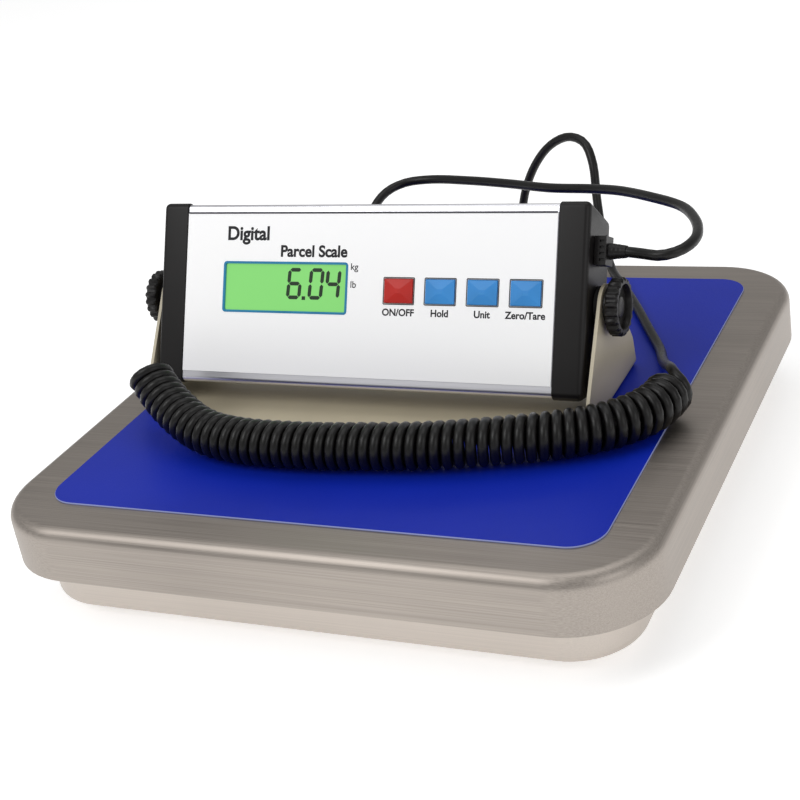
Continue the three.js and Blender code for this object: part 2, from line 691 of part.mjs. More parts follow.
// From the indicator, out to the right, round behind it and down to the left end of the coil.
const LEAD_ROUTE = aboveMat([
  [101.4, 3.7, 66.9],
  [109, 3.4, 66.9],
  [117, 0.5, 67.3],
  [126, -3, 68],
  [133.5, 0.5, 69],
  [137, 11, 69.5],
  [135, 25, 69.5],
  [128, 42, 69],
  [119, 56, 68],
  [100, 73, 66],
  [79, 90, 63],
  [61, 101, 60],
  [36, 111, 57],
  [8, 126, 54],
  [-19, 137, 52],
  [-47, 145, 50],
  [-61, 142.5, 49],
  [-69, 134, 46.5],
  [-73, 122, 40],
  [-76, 111, 28],
  [-80, 100, 14],
  [-88, 88, 5],
  [-100, 74, 2.7],
  [-115, 58, 2.7],
  [-128, 38, 2.7],
  [-135, 16, 2.7],
  [-136.5, -6, 3],
  [-134, -22, 6],
  [-130.5, -36, 10.5],
  [-126.5, -45.5, 14.5],
  [-122, -49, 24],
  [-117.5, -52.6, 30.5],
  [-113.4, -55.3, 31],
  [-109.5, -57.87, 27.67],
]);

// The coil lies along the front of the stand; its left end is cocked up.
const COIL_ROUTE = aboveMat([
  [-109.3, -58, 27.5],
  [-104, -61.5, 23],
  [-92, -69, 17],
  [-72, -79, 12],
  [-50, -84.2, 11],
  [-19, -85, 11],
  [9, -82.5, 11],
  [40, -78, 11],
  [69, -70, 11],
  [93, -62, 11],
  [108.5, -53.7, 11],
  [120.5, -42.4, 11],
  [127, -30, 11],
  [129, -18, 11],
]);

// From the right end of the coil, back over the platform, up and over its rear edge to the base.
const TAIL_ROUTE = aboveMat([
  [137.3, -19.05, 8],
  [137.6, -17, 8],
  [134.5, -10.5, 7.5],
  [130, -3, 6.2],
  [125.8, 4.5, 4.9],
  [121, 13, 4.3],
  [115.7, 23, 4.2],
  [108, 40, 2.7],
  [97, 61, 2.7],
  [86, 82, 2.7],
  [76, 100, 2.7],
  [66, 117, 2.7],
  [56, 134, 3.6],
  [48, 149, 14],
  [43, 160, 32],
  [40, 168, 50],
  [34, 175, 59],
  [24, 180, 61],
  [11, 184, 55],
  [0, 186, 43],
  [-8, 186, 27],
  [-12, 184, 8],
  [-13.5, 180, -10],
  [-13.5, 172, -26],
  [-12.6, 163, -33.8],
  [-12, 155, -35.2],
  [BASE_GLAND_X, PAN_SIDE / 2 + 9 + GAP, BASE_GLAND_Z - MAT_TOP],
]);

// Everything in its place

add(scale, "base_pan", basePan(), panSteel);
add(scale, "lower_spider", lowerSpider(), plainSteel);
add(scale, "load_cell", loadCell(), aluminium);
FIXED_BOLT_X.forEach((x, i) => add(scale, `load_cell_base_bolt_${i + 1}`, fixedBolt(x), boltSteel));
FREE_BOLT_X.forEach((x, i) => add(scale, `load_cell_top_bolt_${i + 1}`, freeBolt(x), boltSteel));
add(scale, "upper_spider", upperSpider(), plainSteel);
for (const corner of CORNERS) {
  add(scale, `foot_${corner.name}`, foot(corner), blackRubber);
  add(scale, `support_pad_${corner.name}`, supportPad(corner), blackRubber);
  add(scale, `overload_stop_${corner.name}`, overloadStop(corner), boltSteel);
}
add(scale, "platform_cover", platformCover(), stainless);
add(scale, "platform_mat", platformMat(), blueVinyl);
add(scale, "base_gland", baseGland(), blackPlastic);
add(scale, "bracket", bracket(), creamPaint);

for (const side of SIDES) {
  add(indicator, `knob_${side.name}`, knob(side), blackPlastic);
  add(indicator, `knob_stud_${side.name}`, knobStud(side), boltSteel);
  add(indicator, `friction_washer_${side.name}`, frictionWasher(side), blackRubber);
  add(indicator, `end_cap_${side.name}`, endCap(side), blackPlastic);
  BOSS_HEIGHTS.forEach((z, i) =>
    add(indicator, `cap_screw_${side.name}_${i ? "top" : "bottom"}`, capScrew(side, z), boltSteel),
  );
}
add(indicator, "housing_shell", housingShell(), aluminium);
add(indicator, "face_label", faceLabel(), whiteLabel);
add(indicator, "display_window", displayWindow(), clearPlastic);
add(indicator, "display_module", displayModule(), cellLabel);
add(indicator, "circuit_board", circuitBoard(), boardGreen);
BUTTON_NAMES.forEach((name, i) => {
  add(indicator, `button_${name}`, button(i), i ? bluePlastic : redPlastic);
  add(indicator, `switch_${name}`, switchUnder(i), blackPlastic);
});
add(indicator, "battery_holder", batteryHolder(), blackPlastic);
for (let i = 0; i < 4; i++) add(indicator, `battery_${i + 1}`, battery(i), cellLabel);
add(indicator, "battery_cover", batteryCover(), blackPlastic);
add(indicator, "indicator_gland", indicatorGland(), blackPlastic);

add(scale, "cord_lead", tube(LEAD_ROUTE, WIRE_RADIUS, 44, 8), blackPlastic);
add(scale, "cord_coil", tube(COIL_ROUTE, COIL_RADIUS, 20, 12), blackPlastic);
add(scale, "cord_tail", tube(TAIL_ROUTE, WIRE_RADIUS, 36, 8), blackPlastic);

export default scale;
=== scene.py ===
"""Looks of the platform shipping scale: fine surfaces, materials, the real cord, light and camera.

Shapes are drawn in millimetres, in the same frame as the CAD model, and are stored in metres.
"""
import json
import math

import bmesh
import bpy
from mathutils import Matrix, Vector


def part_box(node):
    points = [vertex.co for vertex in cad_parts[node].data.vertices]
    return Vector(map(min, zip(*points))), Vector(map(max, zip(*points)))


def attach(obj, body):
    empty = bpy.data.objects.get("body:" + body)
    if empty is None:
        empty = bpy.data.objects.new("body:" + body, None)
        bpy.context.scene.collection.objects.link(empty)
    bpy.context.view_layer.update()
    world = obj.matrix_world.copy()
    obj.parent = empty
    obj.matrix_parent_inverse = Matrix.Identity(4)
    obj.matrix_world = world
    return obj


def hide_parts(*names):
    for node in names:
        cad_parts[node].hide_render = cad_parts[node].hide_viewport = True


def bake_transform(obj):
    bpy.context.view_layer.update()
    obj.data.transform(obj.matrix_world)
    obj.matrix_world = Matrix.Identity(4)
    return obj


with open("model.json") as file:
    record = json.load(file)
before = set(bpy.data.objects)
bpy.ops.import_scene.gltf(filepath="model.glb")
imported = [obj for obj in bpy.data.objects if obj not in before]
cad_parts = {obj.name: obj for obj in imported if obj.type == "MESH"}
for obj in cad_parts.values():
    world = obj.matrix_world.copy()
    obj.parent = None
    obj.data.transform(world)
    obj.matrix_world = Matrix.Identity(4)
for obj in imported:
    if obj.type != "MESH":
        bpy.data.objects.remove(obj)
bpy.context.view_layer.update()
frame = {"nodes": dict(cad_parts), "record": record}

MM = 0.001

# Sizes shared with the CAD model, in millimetres
COVER_SIDE, COVER_CORNER, COVER_ROUND, SHEET = 305, 40, 6, 1.2
COVER_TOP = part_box("platform_cover")[1].z / MM
SKIRT_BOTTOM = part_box("platform_cover")[0].z / MM
MAT_SIDE, MAT_CORNER = 260, 15
MAT_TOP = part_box("platform_mat")[1].z / MM
MAT_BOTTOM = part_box("platform_mat")[0].z / MM
PAN_SIDE, PAN_CORNER, PAN_ROUND = 281, 30, 5
PAN_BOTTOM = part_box("base_pan")[0].z / MM
PAN_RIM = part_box("base_pan")[1].z / MM

TILT_JOINT = next(j for j in frame["record"]["behaviour"]["joints"] if j["name"] == "indicator_tilt")
PIVOT = Vector(TILT_JOINT["pos_m"]) / MM
LEAN = math.radians(27.4)
INDICATOR = Matrix.Translation(PIVOT) @ Matrix.Rotation(-LEAN, 4, "X")

STAND_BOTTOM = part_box("bracket")[0].z / MM
STAND_FRONT, STAND_BACK = -50.7, 29
STAND_HALF, STAND_SHEET, STAND_BEND = 112.75, 1.6, 3
STAND_SLOPE = 0.8
STAND_CORNER = 10
STAND_HOLE_XS, STAND_HOLE_Y, STAND_HOLE_RADIUS = (-60, 60), 18, 2.5

FACE = -17.4
CAP_END, SHELL_HALF, SHELL_INSET, END_ROUND = 108.5, 94.3, 0.8, 2.6
OUTLINE = [(FACE, -43, 3.4), (12.7, -36, 4), (12.7, 38.4, 3.6), (FACE, 45.2, 2.8)]
SCREW_HEIGHTS, SCREW_Y = (-25, 29), 7.2
SCREW_HOLE_RADIUS, SCREW_HOLE_DEPTH = 3.1, 2.2
WINDOW_X, WINDOW_Z, WINDOW_WIDTH, WINDOW_HEIGHT = -40, 4.6, 65.3, 23
BUTTON_XS, BUTTON_Z = [19.4 + 20.5 * i for i in range(4)], 4
BUTTON_WIDTH, BUTTON_HEIGHT = 14, 10.9
KNOB_START, KNOB_RIM, KNOB_END, KNOB_RADIUS, KNOB_RIBS = 113.05, 115.05, 120.75, 13, 20

WIRE = 4.8
COIL_OUTER = 10.75
COIL_TURNS = 54


# ---------------------------------------------------------------- mesh helpers

def smooth(mesh, angle=35):
    mesh.shade_smooth()
    mesh.set_sharp_from_angle(angle=math.radians(angle))


def finish_piece(name, bm, material, place=None, angle=35):
    """Turns a bmesh drawn in millimetres into a piece in metres."""
    bmesh.ops.recalc_face_normals(bm, faces=bm.faces)
    matrix = Matrix.Scale(MM, 4) @ (place or Matrix.Identity(4))
    bm.transform(matrix)
    mesh = bpy.data.meshes.new(name)
    bm.to_mesh(mesh)
    bm.free()
    if material:
        mesh.materials.append(material)
    smooth(mesh, angle)
    piece = bpy.data.objects.new(name, mesh)
    bpy.context.scene.collection.objects.link(piece)
    return piece


def loft(bm, rings, closed=False):
    """Skins a row of rings. A closed row joins its last ring to its first; others get end faces."""
    rows = [[bm.verts.new(point) for point in ring] for ring in rings]
    count = len(rows[0])
    pairs = list(zip(rows, rows[1:]))
    if closed:
        pairs.append((rows[-1], rows[0]))
    for low, high in pairs:
        for i in range(count):
            j = (i + 1) % count
            bm.faces.new((low[i], low[j], high[j], high[i]))
    if not closed:
        bm.faces.new(rows[0])
        bm.faces.new(rows[-1])


def rounded_ring(side_x, side_y, radius, z, steps=14, x=0, y=0):
    """Points round a rectangle with round corners, at one height."""
    points = []
    corners = [(1, -1, -0.5), (1, 1, 0), (-1, 1, 0.5), (-1, -1, 1)]
    for sx, sy, start in corners:
        cx = x + sx * (side_x / 2 - radius)
        cy = y + sy * (side_y / 2 - radius)
        for k in range(steps + 1):
            angle = math.pi * (start + 0.5 * k / steps)
            points.append((cx + radius * math.cos(angle), cy + radius * math.sin(angle), z))
    return points


def quarter(radius, steps):
    """Insets and drops along a quarter circle, from the side of a box to its top."""
    for k in range(steps + 1):
        angle = 0.5 * math.pi * k / steps
        yield radius * (1 - math.cos(angle)), radius * math.sin(angle)


def circle(radius, x, points, y=0, z=0):
    """Ring round a line along X."""
    steps = [2 * math.pi * k / points for k in range(points)]
    return [(x, y + radius * math.cos(a), z + radius * math.sin(a)) for a in steps]


def turned_z(name, profile, material, x, y, points=48):
    """A turned piece about a vertical line. The profile is radius and height, from axis to axis."""
    bm = bmesh.new()
    rings = []
    for radius, height in profile:
        steps = [2 * math.pi * k / points for k in range(points)]
        rings.append([(x + radius * math.cos(a), y + radius * math.sin(a), height) for a in steps])
    loft(bm, rings)
    return finish_piece(name, bm, material)


def block(low, high, place=None, name="block"):
    """A plain cutter."""
    bm = bmesh.new()
    x0, y0, z0 = low
    x1, y1, z1 = high
    loft(bm, [[(x0, y0, z), (x1, y0, z), (x1, y1, z), (x0, y1, z)] for z in (z0, z1)])
    return finish_piece(name, bm, None, place)


def rod_x(radius, low, high, y, z, place=None, points=32):
    bm = bmesh.new()
    loft(bm, [circle(radius, x, points, y, z) for x in (low, high)])
    return finish_piece("rod", bm, None, place)


def carve(piece, cutters, angle=35):
    """Cuts holes into a piece and removes the cutters."""
    for cutter in cutters:
        modifier = piece.modifiers.new("cut", "BOOLEAN")
        modifier.operation = "DIFFERENCE"
        modifier.solver = "EXACT"
        modifier.object = cutter
    bpy.context.view_layer.update()
    made = bpy.data.meshes.new_from_object(piece.evaluated_get(bpy.context.evaluated_depsgraph_get()))
    piece.modifiers.clear()
    old = piece.data
    piece.data = made
    bpy.data.meshes.remove(old)
    for cutter in cutters:
        bpy.data.objects.remove(cutter, do_unlink=True)
    smooth(piece.data, angle)
    return piece


def soften(piece, width, segments=2, angle=35):
    """Rounds a piece's edges, with the width in millimetres."""
    bevel = piece.modifiers.new("edges", "BEVEL")
    bevel.width = width * MM
    bevel.segments = segments
    bevel.limit_method = "ANGLE"
    bevel.angle_limit = math.radians(angle)
    bevel.harden_normals = True
    return piece


def catmull(points, spacing):
    """Points along a centripetal Catmull-Rom curve through the given ones, a spacing apart."""
    route = [Vector(p) for p in points]
    ends = [2 * route[0] - route[1], *route, 2 * route[-1] - route[-2]]
    fine = []
    for a, b, c, d in zip(ends, ends[1:], ends[2:], ends[3:]):
        t1 = (b - a).length ** 0.5
        t2 = t1 + (c - b).length ** 0.5
        t3 = t2 + (d - c).length ** 0.5
        steps = max(4, int((c - b).length / spacing * 2))
        for k in range(steps):
            t = t1 + (t2 - t1) * k / steps
            ab = a.lerp(b, t / t1)
            bc = b.lerp(c, (t - t1) / (t2 - t1))
            cd = c.lerp(d, (t - t2) / (t3 - t2))
            fine.append(ab.lerp(bc, t / t2).lerp(bc.lerp(cd, (t - t1) / (t3 - t1)), (t - t1) / (t2 - t1)))
    fine.append(route[-1])
    return evenly(fine, spacing)


def evenly(line, spacing):
    """The same line with points a spacing apart."""
    total = sum((b - a).length for a, b in zip(line, line[1:]))
    count = max(2, round(total / spacing))
    made, done, target = [line[0]], 0, total / count
    for a, b in zip(line, line[1:]):
        length = (b - a).length
        while length > 0 and done + length >= target * len(made) - 1e-9 and len(made) < count:
            made.append(a.lerp(b, (target * len(made) - done) / length))
        done += length
    made.append(line[-1])
    return made


def frames(line):
    """A side vector at each point of a line that turns as little as possible along it."""
    side = (line[1] - line[0]).orthogonal().normalized()
    made = []
    for i, _ in enumerate(line):
        ahead = (line[min(i + 1, len(line) - 1)] - line[max(i - 1, 0)]).normalized()
        side = (side - ahead * side.dot(ahead)).normalized()
        made.append((ahead, side, ahead.cross(side)))
    return made


def tube(bm, line, radius, points=12):
    """A tube of one radius, or of a radius for each point, along a line."""
    radii = radius if isinstance(radius, list) else [radius] * len(line)
    rings = []
    for centre, (_, side, up), size in zip(line, frames(line), radii):
        steps = [2 * math.pi * k / points for k in range(points)]
        rings.append([centre + side * math.cos(a) * size + up * math.sin(a) * size for a in steps])
    loft(bm, rings)


# ---------------------------------------------------------------- material helpers

def material(name, colour, roughness, metallic=0.0, coat=0.0):
    made = bpy.data.materials.new(name)
    made.use_nodes = True
    shader = made.node_tree.nodes["Principled BSDF"]
    shader.inputs["Base Color"].default_value = (*colour, 1)
    shader.inputs["Roughness"].default_value = roughness
    shader.inputs["Metallic"].default_value = metallic
    shader.inputs["Coat Weight"].default_value = coat
    shader.inputs["Coat Roughness"].default_value = 0.2
    return made


def link(made, output, target):
    made.node_tree.links.new(output, target)


def shader_of(made):
    return made.node_tree.nodes["Principled BSDF"]


def coordinates(made, scale):
    """Object coordinates stretched by a scale for each axis."""
    nodes = made.node_tree.nodes
    source = nodes.new("ShaderNodeTexCoord")
    mapping = nodes.new("ShaderNodeMapping")
    mapping.inputs["Scale"].default_value = scale
    link(made, source.outputs["Object"], mapping.inputs["Vector"])
    return mapping.outputs["Vector"]


def noise(made, scale, stretch=(1, 1, 1), detail=3, rough=0.5):
    texture = made.node_tree.nodes.new("ShaderNodeTexNoise")
    texture.inputs["Scale"].default_value = scale
    texture.inputs["Detail"].default_value = detail
    texture.inputs["Roughness"].default_value = rough
    link(made, coordinates(made, stretch), texture.inputs["Vector"])
    return texture.outputs["Fac"]


def spread(made, value, low, high, start=0.3, stop=0.7):
    """Maps a texture's value to a range."""
    node = made.node_tree.nodes.new("ShaderNodeMapRange")
    node.inputs["From Min"].default_value = start
    node.inputs["From Max"].default_value = stop
    node.inputs["To Min"].default_value = low
    node.inputs["To Max"].default_value = high
    link(made, value, node.inputs["Value"])
    return node.outputs["Result"]


def tint(made, value, dark, light, start=0.3, stop=0.7):
    """Colours a surface between two colours by a texture's value."""
    ramp = made.node_tree.nodes.new("ShaderNodeValToRGB")
    ramp.color_ramp.elements[0].position = start
    ramp.color_ramp.elements[0].color = (*dark, 1)
    ramp.color_ramp.elements[1].position = stop
    ramp.color_ramp.elements[1].color = (*light, 1)
    link(made, value, ramp.inputs["Fac"])
    link(made, ramp.outputs["Color"], shader_of(made).inputs["Base Color"])


def bump(made, value, strength, distance_mm):
    node = made.node_tree.nodes.new("ShaderNodeBump")
    node.inputs["Strength"].default_value = strength
    node.inputs["Distance"].default_value = distance_mm * MM
    link(made, value, node.inputs["Height"])
    link(made, node.outputs["Normal"], shader_of(made).inputs["Normal"])


def mixed(made, factor, a, b):
    node = made.node_tree.nodes.new("ShaderNodeMix")
    link(made, factor, node.inputs["Factor"])
    link(made, a, node.inputs["A"])
    link(made, b, node.inputs["B"])
    return node.outputs["Result"]


def side_facing(made):
    """1 on faces that look along X, 0 on the others."""
    nodes = made.node_tree.nodes
    geometry = nodes.new("ShaderNodeNewGeometry")
    split = nodes.new("ShaderNodeSeparateXYZ")
    link(made, geometry.outputs["Normal"], split.inputs["Vector"])
    size = nodes.new("ShaderNodeMath")
    size.operation = "ABSOLUTE"
    link(made, split.outputs["X"], size.inputs[0])
    return spread(made, size.outputs["Value"], 0, 1, 0.6, 0.8)


def shade(colour, factor):
    return tuple(min(1, part * factor) for part in colour)


def brushed(name, colour, roughness, contrast, cloud):
    """Brushed sheet metal: fine lines along X, and along Y where the sheet turns the corner."""
    made = material(name, colour, roughness, metallic=1)
    along_x = noise(made, 1, (9, 2600, 2600), 4, 0.6)
    along_y = noise(made, 1, (2600, 9, 2600), 4, 0.6)
    lines = mixed(made, side_facing(made), along_x, along_y)
    clouds = noise(made, cloud, detail=3)
    both = made.node_tree.nodes.new("ShaderNodeMix")
    both.inputs["Factor"].default_value = 0.3
    link(made, lines, both.inputs["A"])
    link(made, clouds, both.inputs["B"])
    tint(made, both.outputs["Result"], shade(colour, 1 - contrast), shade(colour, 1 + contrast))
    link(made, spread(made, lines, roughness - 0.08, roughness + 0.1), shader_of(made).inputs["Roughness"])
    bump(made, lines, 0.25, 0.03)
    return made


def plastic(name, colour, roughness, grain=0.02):
    """Moulded plastic with a fine spark-eroded grain."""
    made = material(name, colour, roughness)
    shader_of(made).inputs["Specular IOR Level"].default_value = 0.3
    fine = noise(made, 2600, detail=2)
    tint(made, noise(made, 60, detail=2), shade(colour, 0.9), shade(colour, 1.1))
    link(made, spread(made, fine, roughness - 0.05, roughness + 0.06), shader_of(made).inputs["Roughness"])
    bump(made, fine, 0.3, grain)
    return made


def woven(name, colour, roughness):
    """Cord sheath with a fine criss-cross grain."""
    made = material(name, colour, roughness)
    shader_of(made).inputs["Specular IOR Level"].default_value = 0.35
    down = noise(made, 1, (2200, 700, 700), 2)
    across = noise(made, 1, (700, 700, 2200), 2)
    grain = mixed(made, noise(made, 300, detail=2), down, across)
    tint(made, grain, shade(colour, 0.7), shade(colour, 1.5))
    link(made, spread(made, grain, roughness - 0.08, roughness + 0.14), shader_of(made).inputs["Roughness"])
    bump(made, grain, 0.5, 0.08)
    return made


def vinyl(name, colour):
    made = material(name, colour, 0.42)
    shader_of(made).inputs["Specular IOR Level"].default_value = 0.25
    fine = noise(made, 3400, detail=3)
    tint(made, noise(made, 14, detail=4), shade(colour, 0.92), shade(colour, 1.08))
    link(made, spread(made, fine, 0.36, 0.5), shader_of(made).inputs["Roughness"])
    bump(made, fine, 0.25, 0.03)
    return made


def powder_coat(name, colour):
    made = material(name, colour, 0.45, coat=0.15)
    peel = noise(made, 900, detail=2)
    tint(made, noise(made, 30, detail=3), shade(colour, 0.95), shade(colour, 1.04))
    bump(made, peel, 0.25, 0.05)
    return made


def anodised(name, colour, roughness):
    """Extruded aluminium with faint die lines along X."""
    made = material(name, colour, roughness, metallic=1)
    lines = noise(made, 1, (3, 1500, 1500), 3, 0.5)
    tint(made, lines, shade(colour, 0.93), shade(colour, 1.05))
    link(made, spread(made, lines, roughness - 0.05, roughness + 0.07), shader_of(made).inputs["Roughness"])
    bump(made, lines, 0.12, 0.02)
    return made


def printed_with_painted_glow(name, colour):
    """Satin film with print on the face, and a faint white glow on it: painted light that lifts the whole
    face.
    """
    made = material(name, colour, 0.4)
    # Painted light: a faint white glow brightens the whole face, its shaded lower part too.
    shader_of(made).inputs["Emission Color"].default_value = (1, 1, 1, 1)
    shader_of(made).inputs["Emission Strength"].default_value = 0.08
    fleck = noise(made, 4200, detail=2)
    tint(made, fleck, shade(colour, 0.96), shade(colour, 1.03))
    bump(made, fleck, 0.08, 0.02)
    return made


def glowing(name, colour, strength):
    """Lit display panel, its glow a little uneven."""
    made = material(name, shade(colour, 0.5), 0.12)
    glow = noise(made, 25, detail=1)
    shader = shader_of(made)
    ramp = made.node_tree.nodes.new("ShaderNodeValToRGB")
    ramp.color_ramp.elements[0].color = (*shade(colour, 0.9), 1)
    ramp.color_ramp.elements[1].color = (*colour, 1)
    link(made, glow, ramp.inputs["Fac"])
    link(made, ramp.outputs["Color"], shader.inputs["Emission Color"])
    shader.inputs["Emission Strength"].default_value = strength
    return made


# ---------------------------------------------------------------- materials

STAINLESS = brushed("stainless", (0.385, 0.345, 0.31), 0.44, 0.28, 6)
PAN_STEEL = brushed("pan_steel", (0.57, 0.515, 0.465), 0.42, 0.12, 9)
INNER_STEEL = brushed("inner_steel", (0.36, 0.37, 0.38), 0.45, 0.1, 20)
SCREW_STEEL = brushed("screw_steel", (0.42, 0.43, 0.45), 0.33, 0.1, 60)
ALUMINIUM = anodised("aluminium", (0.80, 0.80, 0.84), 0.32)
BLUE_VINYL = vinyl("blue_vinyl", (0.003, 0.020, 0.40))
MAT_EDGE = vinyl("mat_edge", (0.30, 0.34, 0.62))
CREAM = powder_coat("cream_paint", (0.54, 0.48, 0.35))
BLACK = plastic("black_plastic", (0.006, 0.005, 0.005), 0.4)
KNOB_BLACK = plastic("knob_black", (0.008, 0.007, 0.007), 0.38)
RUBBER = plastic("rubber", (0.010, 0.010, 0.010), 0.7, 0.05)
CORD_BLACK = woven("cord_black", (0.003, 0.0026, 0.0024), 0.34)
# White face with a painted glow.
FACE_WHITE_PAINTED_GLOW = printed_with_painted_glow("face_white", (0.97, 0.97, 0.97))
INK = plastic("ink", (0.012, 0.012, 0.015), 0.5, 0.005)
LINE_GREY = plastic("line_grey", (0.06, 0.06, 0.07), 0.4, 0.005)
TEAL = plastic("window_edge", (0.02, 0.22, 0.42), 0.3, 0.005)
GREEN_GLOW = glowing("display_green", (0.25, 0.70, 0.19), 0.62)
SEGMENT = plastic("display_segment", (0.015, 0.035, 0.015), 0.3, 0.005)
RED = plastic("button_red", (0.50, 0.018, 0.012), 0.35, 0.01)
BLUE = plastic("button_blue", (0.045, 0.27, 0.66), 0.35, 0.01)
BOARD = plastic("board_green", (0.02, 0.10, 0.035), 0.5, 0.02)
JACKET = plastic("battery_jacket", (0.05, 0.16, 0.06), 0.3, 0.01)

BY_SLOT = {
    "stainless": STAINLESS,
    "pan_steel": PAN_STEEL,
    "plain_steel": INNER_STEEL,
    "bolt_steel": SCREW_STEEL,
    "aluminium": ALUMINIUM,
    "blue_vinyl": BLUE_VINYL,
    "cream_paint": CREAM,
    "black_plastic": BLACK,
    "rubber": RUBBER,
    "face_white": FACE_WHITE_PAINTED_GLOW,
    "window_green": GREEN_GLOW,
    "board_green": BOARD,
    "button_red": RED,
    "button_blue": BLUE,
    "battery_jacket": JACKET,
    "cord_black": CORD_BLACK,
}


# ---------------------------------------------------------------- camera

def camera():
    data = bpy.data.cameras.new("camera")
    data.sensor_width = 36
    data.lens = 72.54
    data.clip_start, data.clip_end = 0.01, 20
    made = bpy.data.objects.new("camera", data)
    bpy.context.scene.collection.objects.link(made)
    right = Vector((0.90551, 0.39501, -0.15495))
    up = Vector((-0.04658, 0.45549, 0.88902))
    back = Vector((0.42175, -0.79780, 0.43085))
    place = Vector((317.45, -621.80, 380.15)) * MM
    made.matrix_world = Matrix.Translation(place) @ Matrix((right, up, back)).transposed().to_4x4()
    bpy.context.scene.camera = made


camera()


# ---------------------------------------------------------------- cord

def above_mat(points):
    return [(x, y, z + MAT_TOP) for x, y, z in points]


LEAD_ROUTE = above_mat([
    (101.4, 3.7, 66.9), (109, 3.4, 66.9), (117, 0.5, 67.3), (126, -3, 68), (133.5, 0.5, 69),
    (137, 11, 69.5), (135, 25, 69.5), (128, 42, 69), (119, 56, 68), (100, 73, 66),
    (79, 90, 63), (61, 101, 60), (36, 111, 57), (8, 126, 54), (-19, 137, 52),
    (-47, 145, 50), (-61, 142.5, 49), (-69, 134, 46.5), (-73, 122, 40), (-76, 111, 28),
    (-80, 100, 14), (-88, 88, 5), (-100, 74, 2.7), (-115, 58, 2.7), (-128, 38, 2.7),
    (-135, 16, 2.7), (-136.5, -6, 3), (-134, -22, 6), (-130.5, -36, 10.5), (-126.5, -45.5, 14.5),
    (-121.5, -52.5, 18), (-117.6, -59, 22),
])
COIL_ROUTE = above_mat([
    (-109.3, -58, 27.5), (-104, -61.5, 23), (-92, -69, 17), (-72, -79, 12), (-50, -84.2, 11),
    (-19, -85, 11), (9, -82.5, 11), (40, -78, 11), (69, -70, 11), (93, -62, 11),
    (108.5, -53.7, 11), (120.5, -42.4, 11), (127, -30, 11), (129, -18, 11),
])
TAIL_ROUTE = above_mat([
    (132.2, -17.2, 18.6), (129.4, -13, 18.9), (126.5, -6.5, 17), (123.3, 0.5, 14), (119.4, 10, 10),
    (114.6, 22, 6), (108, 40, 2.9),
    (97, 61, 2.7), (86, 82, 2.7), (76, 100, 2.7), (66, 117, 2.7), (56, 134, 3.6),
    (48, 149, 14), (43, 160, 32), (40, 168, 50), (34, 175, 59), (24, 180, 61),
    (11, 184, 55), (0, 186, 43), (-8, 186, 27), (-12, 184, 8), (-13.5, 180, -10),
    (-13.5, 172, -26), (-12.6, 163, -33.8), (-12, 155, -35.2), (-12, 149.8, -35.2),
])


def coil_turns(route, radius, turns, start_side, end_side):
    """The curly stretch: a left-handed helix round its route, at full width up to both ends."""
    axis = catmull(route, 0.2)
    planes = frames(axis)

    def angle_of(direction, plane):
        _, side, up = plane
        return math.atan2(Vector(direction).dot(up), Vector(direction).dot(side))

    start = angle_of(start_side, planes[0])
    total = (start - angle_of(end_side, planes[-1])) % (2 * math.pi) + 2 * math.pi * turns
    line = []
    for i, (centre, (_, side, up)) in enumerate(zip(axis, planes)):
        angle = start - total * i / (len(axis) - 1)
        line.append(centre + (side * math.cos(angle) + up * math.sin(angle)) * radius)
    return evenly(line, 3.3)


def cord():
    first_side, last_side = (-0.65, -0.72, -0.2), (0.7, -0.117, 0.7)
    coil = coil_turns(COIL_ROUTE, COIL_OUTER - WIRE / 2, COIL_TURNS, first_side, last_side)
    lead = catmull([*LEAD_ROUTE, coil[0]], 4)
    tail = catmull([coil[-1], *TAIL_ROUTE], 4)
    line = [*lead[:-1], *coil, *tail[1:]]
    length = sum((b - a).length for a, b in zip(line, line[1:]))
    bm = bmesh.new()
    tube(bm, line, WIRE / 2)
    piece = finish_piece("cord", bm, CORD_BLACK, angle=60)
    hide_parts("cord_lead", "cord_coil", "cord_tail")
    [c * MM for c in line[0]]
    [[c * MM for c in point] for point in line]
    print("cord length, mm:", round(length))
    return piece


CORD = cord()
GLAND_END = Vector(LEAD_ROUTE[0])
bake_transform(CORD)


# ---------------------------------------------------------------- platform

def cover():
    """Pressed cover with a skirt: its inner surface, its lower lip, and its rounded outside."""
    def ring(inset, z):
        side = COVER_SIDE - 2 * inset
        return rounded_ring(side, side, COVER_CORNER - inset, z)

    inside = [
        ring(SHEET + inset, COVER_TOP - COVER_ROUND + drop)
        for inset, drop in reversed(list(quarter(COVER_ROUND - SHEET, 6)))
    ]
    lip = [ring(SHEET, SKIRT_BOTTOM + 0.3), ring(SHEET - 0.3, SKIRT_BOTTOM), ring(0.3, SKIRT_BOTTOM)]
    wall = [ring(0, SKIRT_BOTTOM + 0.3), ring(0, COVER_TOP - COVER_ROUND - 3)]
    edge = [
        ring(inset, COVER_TOP - COVER_ROUND + drop)
        for inset, drop in quarter(COVER_ROUND, 10)
    ]
    bm = bmesh.new()
    loft(bm, [*inside, *lip, *wall, *edge])
    piece = finish_piece("cover", bm, STAINLESS)
    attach(piece, "platform")
    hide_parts("platform_cover")


def mat():
    """Blue mat with a pale cut edge."""
    bm = bmesh.new()
    rings = [
        rounded_ring(MAT_SIDE - 2 * inset, MAT_SIDE - 2 * inset, MAT_CORNER - inset, z)
        for inset, z in [(0, MAT_BOTTOM), (0, MAT_TOP - 0.25), (0.25, MAT_TOP)]
    ]
    loft(bm, rings)
    piece = finish_piece("mat", bm, BLUE_VINYL)
    piece.data.materials.append(MAT_EDGE)
    for face in piece.data.polygons:
        if face.normal.z < 0.9:
            face.material_index = 1
    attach(piece, "platform")
    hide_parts("platform_mat")


